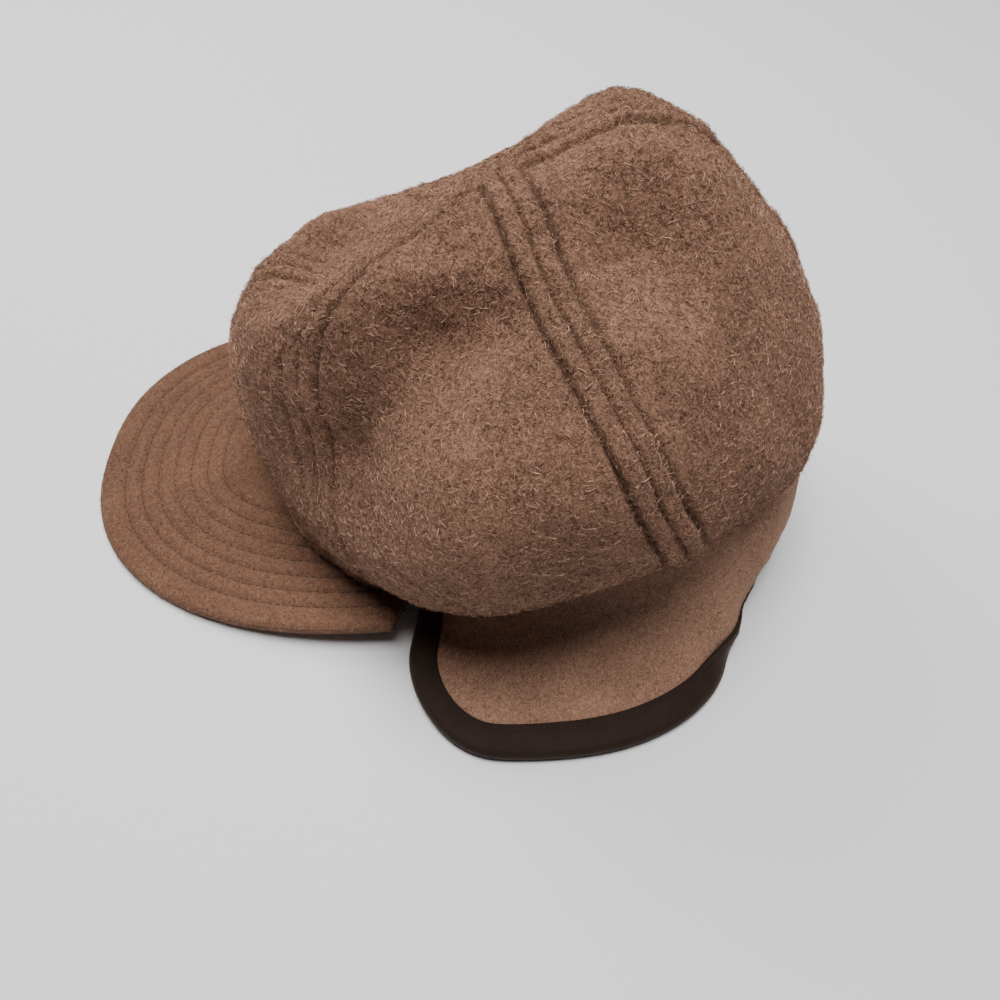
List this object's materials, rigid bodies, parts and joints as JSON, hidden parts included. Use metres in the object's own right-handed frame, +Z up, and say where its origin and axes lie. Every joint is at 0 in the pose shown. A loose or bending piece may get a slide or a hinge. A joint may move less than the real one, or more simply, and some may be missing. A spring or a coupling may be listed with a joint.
{
  "type": "earflap cap",
  "caption": "Soft brushed-wool cap with a short stitched bill and a ribbon-bound ear flap round its sides and back, lying as set down.",
  "frame": {"origin": "on the surface the cap lies on, under the middle of its overall box", "axes": "+Z up, -Y towards the bill, +X towards the wearer's left ear"},
  "size_m": [0.2536, 0.2664, 0.1422],
  "materials": {
    "brushed_wool": "brushed, matt",
    "flap_felt": "smooth felt, matt",
    "ribbon": "twill ribbon, slight sheen"
  },
  "bodies": {
    "root": {"crown_front_left": "brushed_wool", "crown_side_left": "brushed_wool", "crown_back_left": "brushed_wool", "crown_back_right": "brushed_wool", "crown_side_right": "brushed_wool", "crown_front_right": "brushed_wool", "bill_top": "brushed_wool", "bill_under": "brushed_wool", "ear_flap": "flap_felt", "flap_binding": "ribbon", "sweatband": "ribbon"}
  },
  "joints": []
}
